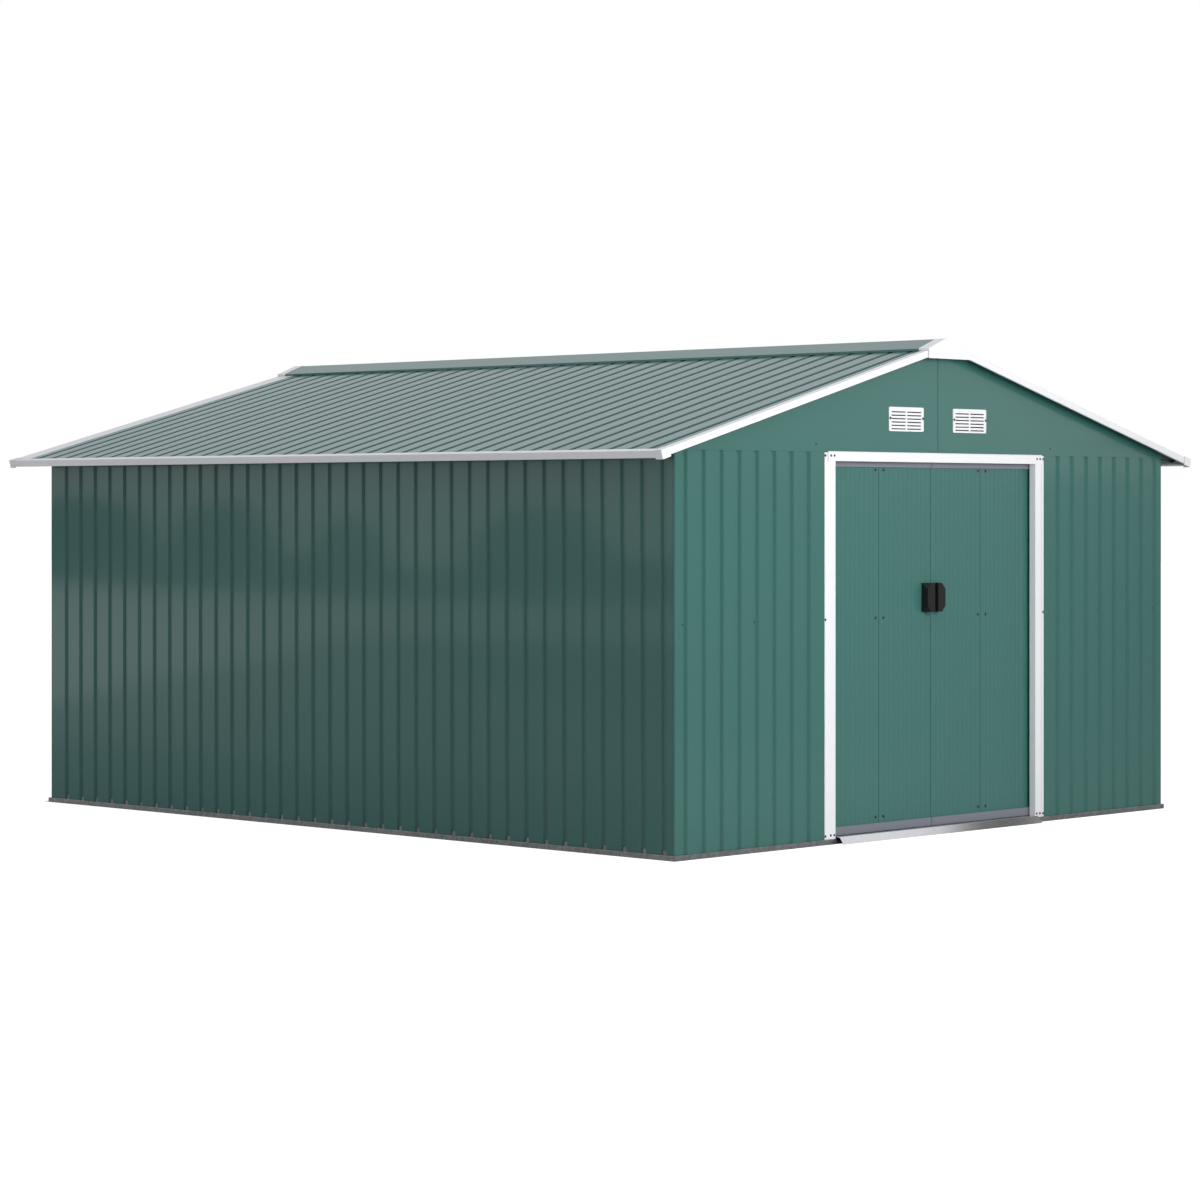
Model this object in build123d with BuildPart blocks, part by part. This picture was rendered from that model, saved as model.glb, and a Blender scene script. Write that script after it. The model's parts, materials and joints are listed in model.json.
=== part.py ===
import os
from math import atan2, cos, floor, radians, sin, tan

from build123d import *

os.makedirs("parts", exist_ok=True)

# Shed overall, in millimetres. X runs across the door gable, Y from front to back, Z up.
# The origin is on the floor below the middle of the roof.
wall_width = 3150
wall_depth = 3780
front_overhang = 61
back_overhang = 121
side_overhang = 140
eave_height = 1526.6
roof_slope = 14.9

# Sheet metal
sheet = 0.8
trim_sheet = 1.2
rail_sheet = 1.5
seat_gap = 0.3
cut_margin = 5
trim_bend = 2.0
rail_bend = 2.5

# Ribs pressed inwards into the wall and roof sheets
rib_mouth = 32
rib_floor = 14
rib_depth = 10
side_rib_pitch = 103
first_side_rib = 58.6
last_side_margin = 60
front_rib_pitch = 101.4
first_front_rib = 54.2
roof_rib_pitch = 103
first_roof_rib = 94
last_roof_margin = 45
last_front_margin = 20

# Base rails
base_height = 20
base_lip = 8
base_tail = 36
base_upright_back = 8.1
base_upright_top = 36
base_bend = 1.6
mitre_gap = 0.1
notch_gap = 0.5

# Wall corners
corner_radius = 6
corner_return = 9.5
corner_seam = 0.5
edge_reach = 0.1

# Door frame
doorway_half = 650
frame_width = 62
frame_flange = 13
frame_ramp = 11
frame_proud = 4.4
frame_reach = 26.5
frame_lip = 12
header_rise = 8.4
header_height = 38
header_width = 46
header_hook = 2
header_chamfer = 4
header_hem = 2.2
header_bend = 0.5
header_end_depth = 3.6
header_clearance = 0.2
jamb_top_drop = 5
jamb_foot_gap = 1
jamb_clearance = 2
front_sheet_lap = 10

# Gables
gable_drop = 3.5
gable_seam = 2.5

# Door leaves
door_bottom = 26.5
door_header_lap = 9
door_rail_height = 34.5
door_top_rail_height = 30
door_rail_front = 32
door_rail_depth = 20
door_sheet_setback = 7
door_overlap = 40
door_seam = 330
door_seam_gap = 2.5
meeting_gap = 1.5
door_rib_pitch = 29
door_rib_mouth = 12
door_rib_floor = 6
door_rib_depth = 0.8
door_sheet_lap = 6
door_brace_height = 40
door_brace_lip = 6
mid_rail_height = 876
door_travel = 585

# Handles
handle_height = 117
handle_half_width = 58
handle_inner = 9.5
handle_rise = 76
handle_front = 5
handle_corner = 24
handle_round = 2

# Tracks
track_clearance = 6
track_lip = 10
track_reach = 62
track_cover_rise = 10
track_end = 15
track_skirt_gap = 3
guide_top = 20.5
guide_back = 72
shoe_length = 60
shoe_inset = 70
shoe_side_gap = 0.8
shoe_wall = 5
shoe_over = 5
shoe_under = 2
shoe_drop = 6
guide_gap = 1.5

# Sill
sill_end_gap = 4
sill_reach = 43
sill_shoulder = 21.5
sill_height = 29
sill_back = 6

# Inner frame
rail_depth = 25
front_rail_depth = 14
rail_height = 40
post_leg = 35
post_gap = 1
rail_end_gap = 1
eave_rail_height = 45
purlin_offset = 840
purlin_depth = 50
purlin_width = 40
ridge_wing = 70
ridge_channel = 25
ridge_channel_depth = 60

# Roof trims
cap_height = 36
cap_along_eave = 35
cap_along_rake = 47
cap_wall = 1.5
trim_drop = 2.3
eave_face = 29
eave_flange = 30
rake_face = 27.5
rake_flange = 36
back_rake_flange = 105
rake_gap = 1
rake_join_gap = 18
roof_edge_gap = 2
trim_lip = 12
trim_hem = 8
rake_setback = 4
ridge_join_gap = 14

# Ridge cap and its ends
cap_half = 133
cap_flat = 25
cap_lip = 8.8
cap_rise = 41.8
end_cap_depth = 53
end_cap_margin = 1.4
end_cap_drop = 39
end_cap_lap = 8

# Vents
vent_width = 220
vent_height = 97
vent_centre = 206
vent_rise = 136.5
vent_plate = 3
vent_corner = 7
slot_width = 90
slot_height = 6.8
slot_pitch = 13.5
slot_bar = 9
slot_rows = 6
slot_drop = 4
hood_sheet = 1
hood_rise = 2.5
hood_reach = 2
hood_drop = 2.4
vent_window_side = 12
vent_window_margin = 6

# Values worked out from the ones above
frame_half = doorway_half + frame_width
header_half = doorway_half + header_width
sill_half = doorway_half - sill_end_gap
header_top = eave_height + header_rise
header_bottom = header_top - header_height
door_top = header_bottom + door_header_lap
track_flange = door_top + track_clearance
track_lip_top = track_flange + track_lip
track_cover = header_top + track_cover_rise
half_width = wall_width / 2
roof_length = wall_depth + front_overhang + back_overhang
half_length = roof_length / 2
front_y = -half_length + front_overhang
back_y = half_length - back_overhang
eave_half = half_width + side_overhang
slope_cos = cos(radians(roof_slope))
slope_sin = sin(radians(roof_slope))
slope_tan = tan(radians(roof_slope))
pan_drop = trim_drop + trim_sheet + seat_gap
sheet_foot = base_height + seat_gap
groove_drop = pan_drop + sheet + rib_depth
groove_back = rib_depth + sheet + seat_gap
gable_foot = header_top - gable_drop
vent_level = gable_foot + vent_rise
leaf_centre = door_rail_front + door_rail_depth / 2
guide_face = leaf_centre - trim_sheet / 2
handle_centre = mid_rail_height + handle_rise


def trim_plane_z(x):
    # Height of the plane through the outer top corners of the eave corner caps
    return eave_height + (eave_half - abs(x)) * slope_tan


def below_roof_z(x, drop):
    # Height of a plane parallel to the roof, a square distance below the corner caps
    return trim_plane_z(x) - drop / slope_cos


def rib_section(start, stop, centres, wrap_start=0, wrap_stop=0, mouth=rib_mouth, bottom=rib_floor,
                depth=rib_depth):
    # Closed outline of a rolled sheet, its flat pans on y = 0 and its grooves pressed towards -y
    lean = sheet * tan(atan2(depth, (mouth - bottom) / 2) / 2)
    face = [(start, 0)]
    back = [(start, -sheet)]
    if wrap_start:
        face = [(start, -wrap_start), (start, 0)]
        back = [(start + sheet, -wrap_start), (start + sheet, -sheet)]
    for centre in centres:
        for side, reach, level in ((-1, mouth / 2, 0), (-1, bottom / 2, -depth),
                                   (1, bottom / 2, -depth), (1, mouth / 2, 0)):
            face.append((centre + side * reach, level))
            back.append((centre + side * (reach + lean), level - sheet))
    if wrap_stop:
        face += [(stop, 0), (stop, -wrap_stop)]
        back += [(stop - sheet, -sheet), (stop - sheet, -wrap_stop)]
    else:
        face.append((stop, 0))
        back.append((stop, -sheet))
    return face + back[::-1]


def folded_section(points, thickness, bend, side=1):
    # Cross section of a folded strip with rounded bends, its metal left of the points (1) or right (-1)
    corners = [Vector(*point) for point in points]
    runs = [(after - before).normalized() for before, after in zip(corners, corners[1:])]
    normals = [Vector(-run.Y, run.X) * side for run in runs]
    inner_bend = max(bend - thickness, 0)
    back = [corners[0] + normals[0] * thickness]
    bends = [0]
    back_bends = [0]
    for corner, run, normal, next_normal in zip(corners[1:], runs, normals, normals[1:]):
        back.append(corner + (normal + next_normal) * (thickness / (1 + normal.dot(next_normal))))
        closes = next_normal.dot(run) < 0
        bends.append(bend if closes else inner_bend)
        back_bends.append(inner_bend if closes else bend)
    back.append(corners[-1] + normals[-1] * thickness)
    with BuildSketch() as section:
        with BuildLine():
            FilletPolyline(*corners, *back[::-1], radius=bends + [0, 0] + back_bends[::-1], close=True)
        make_face()
    return section.sketch


def spaced(first, pitch, count):
    # Positions of a row of like features
    return [first + pitch * index for index in range(count)]


def finish(piece, name):
    # Label one sub-part and write it
    piece.label = name
    export_step(piece, f"parts/{name}.step")


def mirrored(piece):
    # The same sub-part on the other side of the shed
    with BuildPart() as twin:
        add(mirror(piece, about=Plane.YZ))
    return twin.part


# Planes whose x axis points out of a wall, y up, for sections that run along it
left_rail_plane = Plane(origin=(-half_width, front_y, 0), x_dir=(-1, 0, 0), z_dir=(0, 1, 0))
front_rail_plane = Plane(origin=(0, front_y, 0), x_dir=(0, -1, 0), z_dir=(-1, 0, 0))
back_rail_plane = Plane(origin=(0, back_y, 0), x_dir=(0, 1, 0), z_dir=(1, 0, 0))

# Planes whose x axis runs along a wall and y points out of it, for sheets that stand on it
front_sheet_plane = Plane(origin=(0, front_y, sheet_foot), x_dir=(-1, 0, 0), z_dir=(0, 0, 1))
back_sheet_plane = Plane(origin=(0, back_y, sheet_foot), x_dir=(1, 0, 0), z_dir=(0, 0, 1))
left_sheet_plane = Plane(origin=(-half_width, 0, sheet_foot), x_dir=(0, 1, 0), z_dir=(0, 0, 1))

# The left roof slope, on the plane of the corner caps: x runs back, y out of the roof, z uphill
left_slope = Plane(origin=(-eave_half, 0, eave_height), x_dir=(0, 1, 0), z_dir=(slope_cos, 0, slope_sin))
# Across the same slope: x runs downhill, y out of the roof, z back
left_eave = Plane(origin=(-eave_half, -half_length, eave_height), x_dir=(-slope_cos, 0, -slope_sin),
                  z_dir=(0, 1, 0))


# Base rails, mitred at the corners
front_left_mitre = Plane(origin=(-half_width, front_y + mitre_gap, 0), z_dir=(-1, 1, 0))
frame_cut = doorway_half + frame_lip + jamb_clearance - sill_half
back_left_mitre = Plane(origin=(-half_width, back_y - mitre_gap, 0), z_dir=(-1, -1, 0))
back_right_mitre = Plane(origin=(half_width, back_y + mitre_gap, 0), z_dir=(-1, 1, 0))


def base_section(upright):
    # A lip outside the wall, a ledge under the sheets and an upright that stands a given way inside the wall
    return folded_section([(-base_tail, 0), (base_lip, 0), (base_lip, base_height), (-upright, base_height),
                           (-upright, base_upright_top)], rail_sheet, base_bend)


with BuildPart() as base_rail_left:
    with BuildSketch(left_rail_plane.offset(-base_lip)):
        add(base_section(base_upright_back))
    extrude(amount=wall_depth + 2 * base_lip)
    split(bisect_by=front_left_mitre, keep=Keep.TOP)
    split(bisect_by=back_left_mitre, keep=Keep.TOP)
finish(base_rail_left.part, "base_rail_left")
finish(mirrored(base_rail_left.part), "base_rail_right")

with BuildPart() as base_rail_back:
    with BuildSketch(back_rail_plane.offset(-half_width - base_lip)):
        add(base_section(base_upright_back))
    extrude(amount=wall_width + 2 * base_lip)
    split(bisect_by=Plane(origin=(-half_width, back_y + mitre_gap, 0), z_dir=(1, 1, 0)), keep=Keep.TOP)
    split(bisect_by=back_right_mitre, keep=Keep.TOP)
finish(base_rail_back.part, "base_rail_back")

with BuildPart() as base_rails_front:
    with BuildSketch(front_rail_plane.offset(sill_half + seat_gap)):
        add(base_section(groove_back))
    extrude(amount=half_width + base_lip - sill_half - seat_gap)
    split(bisect_by=Plane(origin=(-half_width, front_y - mitre_gap, 0), z_dir=(1, -1, 0)), keep=Keep.TOP)
    with BuildSketch(Plane.XY.offset(base_height + seat_gap)):
        with Locations((-sill_half, front_y)):
            Rectangle(frame_cut, base_tail, align=(Align.MAX, Align.MIN))
    extrude(amount=base_upright_top, mode=Mode.SUBTRACT)
    mirror(about=Plane.YZ)
finish(base_rails_front.part, "base_rails_front")

# Sill: a galvanized ramp up to a shoulder in front of the doors, with an inner leg and foot
with BuildPart() as door_sill:
    with BuildSketch(front_rail_plane.offset(-sill_half)):
        add(folded_section([(sill_reach, 0), (sill_shoulder, sill_height), (-sill_back, sill_height),
                            (-sill_back, 0)], rail_sheet, rail_bend))
        with Locations((-sill_back + rail_sheet, 0)):
            Rectangle(guide_face - seat_gap - sill_back + rail_sheet, rail_sheet,
                      align=(Align.MAX, Align.MIN))
    extrude(amount=2 * sill_half)
    split(bisect_by=Plane.XY, keep=Keep.TOP)
finish(door_sill.part, "door_sill")

# Bottom track: an upright guide that the door shoes straddle, on a foot that runs inwards
leaf_width = doorway_half + door_overlap
track_half = leaf_width + door_travel + track_end
with BuildPart() as door_track_bottom:
    with BuildSketch(front_rail_plane.offset(-track_half)):
        add(folded_section([(-guide_back, 0), (-guide_face, 0), (-guide_face, guide_top)],
                           trim_sheet, trim_bend))
    extrude(amount=2 * track_half)
finish(door_track_bottom.part, "door_track_bottom")

# Side walls: one ribbed sheet a side, notched over the base rail's upright
wall_top = below_roof_z(half_width, groove_drop) - seat_gap
side_rib_count = floor((wall_depth - first_side_rib - last_side_margin) / side_rib_pitch) + 1
side_ribs = spaced(front_y + first_side_rib, side_rib_pitch, side_rib_count)
notch_top = base_upright_top + notch_gap
notch_face = base_upright_back - base_bend
with BuildPart() as left_wall:
    with BuildSketch(left_sheet_plane):
        with BuildLine():
            Polyline(*rib_section(front_y + corner_return + corner_seam, back_y - corner_return - corner_seam,
                                  side_ribs), close=True)
        make_face()
    extrude(amount=wall_top - sheet_foot)
    with BuildSketch(left_sheet_plane):
        with Locations((0, -notch_face)):
            Rectangle(2 * wall_depth, rib_mouth, align=(Align.CENTER, Align.MAX))
    extrude(amount=notch_top - sheet_foot, mode=Mode.SUBTRACT)
finish(left_wall.part, "left_wall")
finish(mirrored(left_wall.part), "right_wall")

# Front walls: ribbed up to the gable, wrapped round the corner of the shed
front_wall_top = gable_foot - seat_gap
front_wall_edge = doorway_half + front_sheet_lap
front_rib_count = floor((half_width - frame_half - first_front_rib - last_front_margin) / front_rib_pitch) + 1
front_ribs = [half_width - place for place in spaced(first_front_rib, front_rib_pitch, front_rib_count)][::-1]
with BuildPart() as front_wall_left:
    with BuildSketch(front_sheet_plane):
        with BuildLine():
            Polyline(*rib_section(front_wall_edge, half_width, front_ribs, wrap_stop=corner_return),
                     close=True)
        make_face()
    extrude(amount=front_wall_top - sheet_foot)
    inner_edges = front_wall_left.edges().filter_by(Axis.Z).filter_by_position(
        Axis.X, -half_width + sheet - edge_reach, -half_width + sheet + edge_reach)
    fillet(inner_edges.sort_by(Axis.Y)[0], radius=corner_radius - sheet)
    outer_edges = front_wall_left.edges().filter_by(Axis.Z).filter_by_position(
        Axis.X, -half_width - edge_reach, -half_width + edge_reach)
    fillet(outer_edges.sort_by(Axis.Y)[0], radius=corner_radius)
finish(front_wall_left.part, "front_wall_left")
finish(mirrored(front_wall_left.part), "front_wall_right")

# Back wall: the same sheet across the whole width
back_rib_gaps = round((wall_width - 2 * first_front_rib) / front_rib_pitch)
back_rib_pitch = (wall_width - 2 * first_front_rib) / back_rib_gaps
back_ribs = spaced(-half_width + first_front_rib, back_rib_pitch, back_rib_gaps + 1)
with BuildPart() as back_wall:
    with BuildSketch(back_sheet_plane):
        with BuildLine():
            Polyline(*rib_section(-half_width, half_width, back_ribs, corner_return, corner_return),
                     close=True)
        make_face()
    extrude(amount=front_wall_top - sheet_foot)
    for setback, radius in ((sheet, corner_radius - sheet), (0, corner_radius)):
        corner_edges = back_wall.edges().filter_by(Axis.Z).filter_by_position(
            Axis.Y, back_y - setback - edge_reach, back_y - setback + edge_reach)
        fillet(corner_edges.group_by(Axis.X)[0] + corner_edges.group_by(Axis.X)[-1], radius=radius)
    with BuildSketch(back_sheet_plane):
        with Locations((0, -notch_face)):
            Rectangle(wall_width - 2 * (corner_return + sheet), rib_mouth, align=(Align.CENTER, Align.MAX))
    extrude(amount=notch_top - sheet_foot, mode=Mode.SUBTRACT)
finish(back_wall.part, "back_wall")


def gable_half(face_y, outward):
    # Half of a flat gable, open behind its vent, with a fold along its foot that closes the grooves below
    inner_y = face_y - outward * sheet
    side_x = -half_width + sheet
    align_y = Align.MIN if outward < 0 else Align.MAX
    with BuildPart() as half:
        with BuildSketch(Plane.XZ.offset(-min(face_y, inner_y))):
            with BuildLine():
                Polyline((-gable_seam / 2, gable_foot), (-half_width, gable_foot),
                         (-half_width, below_roof_z(half_width, groove_drop) - seat_gap),
                         (-gable_seam / 2, below_roof_z(gable_seam / 2, groove_drop) - seat_gap), close=True)
            make_face()
            with Locations((-vent_centre, vent_level)):
                Rectangle(vent_width - 2 * vent_window_side, vent_height - 2 * vent_window_margin,
                          mode=Mode.SUBTRACT)
        extrude(amount=-sheet)
        with BuildSketch(Plane.XY.offset(gable_foot)):
            with Locations((side_x, face_y)):
                Rectangle(-side_x - gable_seam / 2, rib_depth + sheet, align=(Align.MIN, align_y))
        extrude(amount=sheet)
        with BuildSketch(Plane.XY.offset(gable_foot)):
            with Locations((-half_width, face_y)):
                Rectangle(sheet, corner_return, align=(Align.MIN, align_y))
        extrude(amount=wall_top - gable_foot)
    return half.part


with BuildPart() as front_gable:
    add(gable_half(front_y, -1))
    mirror(about=Plane.YZ)
finish(front_gable.part, "front_gable")

with BuildPart() as back_gable:
    add(gable_half(back_y, 1))
    mirror(about=Plane.YZ)
finish(back_gable.part, "back_gable")

# Inner frame: corner posts on the pans, rails across the backs of the grooves
post_face = sheet + seat_gap
post_foot = base_upright_top + post_gap
with BuildPart() as corner_posts:
    for corner_y, inward in ((front_y, 1), (back_y, -1)):
        with BuildSketch(Plane.XY.offset(post_foot)):
            add(folded_section([(-half_width + post_face + post_leg, corner_y + inward * post_face),
                                (-half_width + post_face, corner_y + inward * post_face),
                                (-half_width + post_face, corner_y + inward * (post_face + post_leg))],
                               rail_sheet, corner_radius - post_face, -inward))
        extrude(amount=gable_foot - post_gap - post_foot)
    mirror(about=Plane.YZ)
finish(corner_posts.part, "corner_posts")


def channel_points(depth, foot, top):
    # A channel on the backs of the grooves, open to the inside
    return [(-groove_back - depth, foot), (-groove_back, foot), (-groove_back, top),
            (-groove_back - depth, top)]


end_gap = post_face + rail_sheet + seat_gap
rail_run = wall_depth - 2 * end_gap
mid_foot = mid_rail_height - rail_height / 2
mid_top = mid_rail_height + rail_height / 2
mid_points = channel_points(rail_depth, mid_foot, mid_top)
front_mid_points = channel_points(front_rail_depth, mid_foot, mid_top)
side_end_gap = groove_back + rail_depth + rail_end_gap
door_end_gap = doorway_half + frame_lip + rail_end_gap
with BuildPart() as mid_rails:
    with BuildSketch(left_rail_plane.offset(end_gap)):
        add(folded_section(mid_points, rail_sheet, rail_bend))
    extrude(amount=rail_run)
    with BuildSketch(front_rail_plane.offset(door_end_gap)):
        add(folded_section(front_mid_points, rail_sheet, rail_bend))
    extrude(amount=half_width - side_end_gap - door_end_gap)
    mirror(about=Plane.YZ)
    with BuildSketch(back_rail_plane.offset(-half_width + side_end_gap)):
        add(folded_section(mid_points, rail_sheet, rail_bend))
    extrude(amount=wall_width - 2 * side_end_gap)
finish(mid_rails.part, "mid_rails")

# Eave rails: channels along the tops of the side walls, their upper flange on the roof's slope
eave_rail_top = below_roof_z(half_width - groove_back, groove_drop) - 2 * seat_gap
eave_rail_inner = below_roof_z(half_width - groove_back - rail_depth, groove_drop) - 2 * seat_gap
with BuildPart() as eave_rails:
    with BuildSketch(left_rail_plane.offset(groove_back)):
        add(folded_section([(-groove_back - rail_depth, eave_rail_top - eave_rail_height),
                            (-groove_back, eave_rail_top - eave_rail_height), (-groove_back, eave_rail_top),
                            (-groove_back - rail_depth, eave_rail_inner)], rail_sheet, rail_bend))
    extrude(amount=wall_depth - 2 * groove_back)
    mirror(about=Plane.YZ)
finish(eave_rails.part, "eave_rails")

# Back cross rail, under the fold of the back gable
cross_end_gap = side_end_gap + rail_end_gap
with BuildPart() as back_cross_rail:
    with BuildSketch(back_rail_plane.offset(-half_width + cross_end_gap)):
        add(folded_section(channel_points(rail_depth, header_bottom, header_top), rail_sheet, rail_bend))
    extrude(amount=wall_width - 2 * cross_end_gap)
finish(back_cross_rail.part, "back_cross_rail")

# Top track: a box over the doors, its inner flange turned up into the lip that the glides straddle
track_points = [(-guide_face, track_lip_top), (-guide_face, track_flange), (-track_reach, track_flange),
                (-track_reach, track_cover), (-groove_back, track_cover),
                (-groove_back, header_bottom + track_skirt_gap)]
with BuildPart() as door_track_top:
    with BuildSketch(front_rail_plane.offset(-half_width + cross_end_gap)):
        add(folded_section(track_points, trim_sheet, trim_bend, -1))
    extrude(amount=wall_width - 2 * cross_end_gap)
finish(door_track_top.part, "door_track_top")

# Roof sheets
roof_rib_count = floor((roof_length - first_roof_rib - last_roof_margin) / roof_rib_pitch) + 1
roof_ribs = spaced(-half_length + first_roof_rib, roof_rib_pitch, roof_rib_count)
roof_edge = rake_setback + trim_sheet + roof_edge_gap
roof_foot = cap_wall + trim_sheet + roof_edge_gap
with BuildPart() as left_roof:
    with BuildSketch(left_slope.offset(roof_foot)):
        with BuildLine():
            Polyline(*[(along, height - pan_drop) for along, height in
                       rib_section(-half_length + roof_edge, half_length - roof_edge, roof_ribs)], close=True)
        make_face()
    extrude(amount=(eave_half - ridge_join_gap) / slope_cos - roof_foot)
finish(left_roof.part, "left_roof")
finish(mirrored(left_roof.part), "right_roof")

# Ridge beam: a deep channel with a wing up each slope
beam_drop = groove_drop + seat_gap
beam_run = wall_depth - 2 * (sheet + seat_gap)
with BuildPart() as ridge_beam:
    with BuildSketch(Plane.XZ.offset(-front_y - sheet - seat_gap)):
        add(folded_section([(-ridge_wing, below_roof_z(ridge_wing, beam_drop)),
                            (-ridge_channel, below_roof_z(ridge_channel, beam_drop)),
                            (-ridge_channel, below_roof_z(ridge_channel, beam_drop) - ridge_channel_depth),
                            (ridge_channel, below_roof_z(ridge_channel, beam_drop) - ridge_channel_depth),
                            (ridge_channel, below_roof_z(ridge_channel, beam_drop)),
                            (ridge_wing, below_roof_z(ridge_wing, beam_drop))], rail_sheet, rail_bend, -1))
    extrude(amount=-beam_run)
finish(ridge_beam.part, "ridge_beam")

# Purlins: a channel half-way up each slope
purlin_x = (eave_half - purlin_offset) / slope_cos
purlin_plane = left_eave.offset(front_overhang + sheet + seat_gap)
with BuildPart() as purlins:
    with BuildSketch(purlin_plane):
        add(folded_section([(-purlin_x + purlin_width, -beam_drop - purlin_depth),
                            (-purlin_x, -beam_drop - purlin_depth), (-purlin_x, -beam_drop),
                            (-purlin_x + purlin_width, -beam_drop)], rail_sheet, rail_bend, -1))
    extrude(amount=beam_run)
    mirror(about=Plane.YZ)
finish(purlins.part, "purlins")

# Eave trims: a flange on the roof, a face square to the slope and a turned-up lip below
trim_out = -cap_wall
with BuildPart() as eave_trim_left:
    with BuildSketch(left_eave.offset(cap_wall + seat_gap)):
        add(folded_section([(trim_out - eave_flange, -trim_drop), (trim_out, -trim_drop),
                            (trim_out, -trim_drop - eave_face), (trim_out - trim_lip, -trim_drop - eave_face),
                            (trim_out - trim_lip, -trim_drop - eave_face + trim_hem)],
                           trim_sheet, trim_bend, -1))
    extrude(amount=roof_length - 2 * (cap_wall + seat_gap))
finish(eave_trim_left.part, "eave_trim_left")
finish(mirrored(eave_trim_left.part), "eave_trim_right")

# Rake trims: the same fold up each gable edge, with a wider flange at the back
rake_foot = cap_wall + trim_sheet + eave_flange + rake_gap
rake_out = -half_length + rake_setback


def rake_pair(flange, ridge_gap):
    # The two front trims, stopped a given way from the ridge
    with BuildPart() as trims:
        with BuildSketch(left_slope.offset(rake_foot)):
            add(folded_section([(rake_out + flange, -trim_drop), (rake_out, -trim_drop),
                                (rake_out, -trim_drop - rake_face),
                                (rake_out + trim_lip, -trim_drop - rake_face),
                                (rake_out + trim_lip, -trim_drop - rake_face + trim_hem)],
                               trim_sheet, trim_bend))
        extrude(amount=(eave_half - ridge_gap) / slope_cos - rake_foot)
        mirror(about=Plane.YZ)
    return trims.part


end_half = cap_half + end_cap_margin
finish(rake_pair(rake_flange, rake_join_gap), "rake_trims_front")
with BuildPart() as rake_trims_back:
    add(mirror(rake_pair(back_rake_flange, end_half + rake_gap), about=Plane.XZ))
finish(rake_trims_back.part, "rake_trims_back")

# Eave corner caps: three-sided shells over the ends of the trims
with BuildPart() as eave_corner_caps:
    with BuildSketch(left_eave):
        Rectangle(cap_along_rake, cap_height, align=(Align.MAX, Align.MAX))
    extrude(amount=cap_along_eave)
    with BuildSketch(left_eave.offset(cap_wall)):
        with Locations((-cap_wall, -cap_wall)):
            Rectangle(cap_along_rake, cap_height, align=(Align.MAX, Align.MAX))
    extrude(amount=cap_along_eave, mode=Mode.SUBTRACT)
    mirror(about=Plane.YZ)
    mirror(about=Plane.XZ)
finish(eave_corner_caps.part, "eave_corner_caps")

# Ridge cap: sloping sides from a narrow flat, with a lip down to the pans
lip_foot = below_roof_z(cap_half - trim_sheet, pan_drop) + seat_gap
cap_shoulder = lip_foot + cap_lip
cap_top = cap_shoulder + cap_rise
cap_end = half_length - end_cap_depth + end_cap_lap
with BuildPart() as ridge_cap:
    with BuildSketch(Plane.XZ.offset(cap_end)):
        add(folded_section([(-cap_half, lip_foot), (-cap_half, cap_shoulder), (-cap_flat, cap_top),
                            (cap_flat, cap_top), (cap_half, cap_shoulder), (cap_half, lip_foot)],
                           trim_sheet, trim_bend, -1))
    extrude(amount=-2 * cap_end)
finish(ridge_cap.part, "ridge_cap")

# Ridge end caps: white shells over the ridge cap, their face running down across both rakes
end_shoulder = cap_shoulder + end_cap_margin
end_top = cap_top + end_cap_margin
end_cap_bottom = cap_shoulder - end_cap_drop
end_lip_foot = below_roof_z(end_half - trim_sheet, trim_drop) + seat_gap


def end_outline(foot, inset=0):
    # Outline of the end cap's face, down to a given height
    with BuildSketch() as outline:
        with BuildLine():
            Polyline((-end_half + inset, foot), (-end_half + inset, end_shoulder - inset / 2),
                     (-cap_flat, end_top - inset), (cap_flat, end_top - inset),
                     (end_half - inset, end_shoulder - inset / 2), (end_half - inset, foot), close=True)
        make_face()
    return outline.sketch


with BuildPart() as ridge_end_front:
    with BuildSketch(Plane.XZ.offset(half_length)):
        add(end_outline(end_cap_bottom))
    extrude(amount=-trim_sheet)
    with BuildSketch(Plane.XZ.offset(half_length)):
        add(end_outline(end_lip_foot))
        add(end_outline(end_lip_foot, trim_sheet), mode=Mode.SUBTRACT)
    extrude(amount=-end_cap_depth)
finish(ridge_end_front.part, "ridge_end_front")

with BuildPart() as ridge_end_back:
    add(mirror(ridge_end_front.part, about=Plane.XZ))
finish(ridge_end_back.part, "ridge_end_back")

# Door frame: each jamb is one fold, a flange on the wall, a raised face and a return into the doorway
jamb_outline = [(frame_half, seat_gap + trim_sheet), (frame_half - frame_flange, seat_gap + trim_sheet),
                (frame_half - frame_flange - frame_ramp, frame_proud + trim_sheet),
                (doorway_half, frame_proud + trim_sheet), (doorway_half, -frame_reach),
                (doorway_half + frame_lip, -frame_reach)]
jamb_foot = base_height + jamb_foot_gap
with BuildPart() as door_jamb_left:
    with BuildSketch(front_sheet_plane.offset(jamb_foot - sheet_foot)):
        add(folded_section(jamb_outline, trim_sheet, trim_bend))
    extrude(amount=header_top - jamb_top_drop - jamb_foot)
    with BuildSketch(Plane.XY.offset(header_bottom - seat_gap)):
        with Locations((-doorway_half, front_y - seat_gap)):
            Rectangle(frame_lip + trim_sheet, frame_reach + cut_margin, align=(Align.MAX, Align.MIN))
    extrude(amount=header_top - header_bottom, mode=Mode.SUBTRACT)
finish(door_jamb_left.part, "door_jamb_left")
finish(mirrored(door_jamb_left.part), "door_jamb_right")

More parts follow.
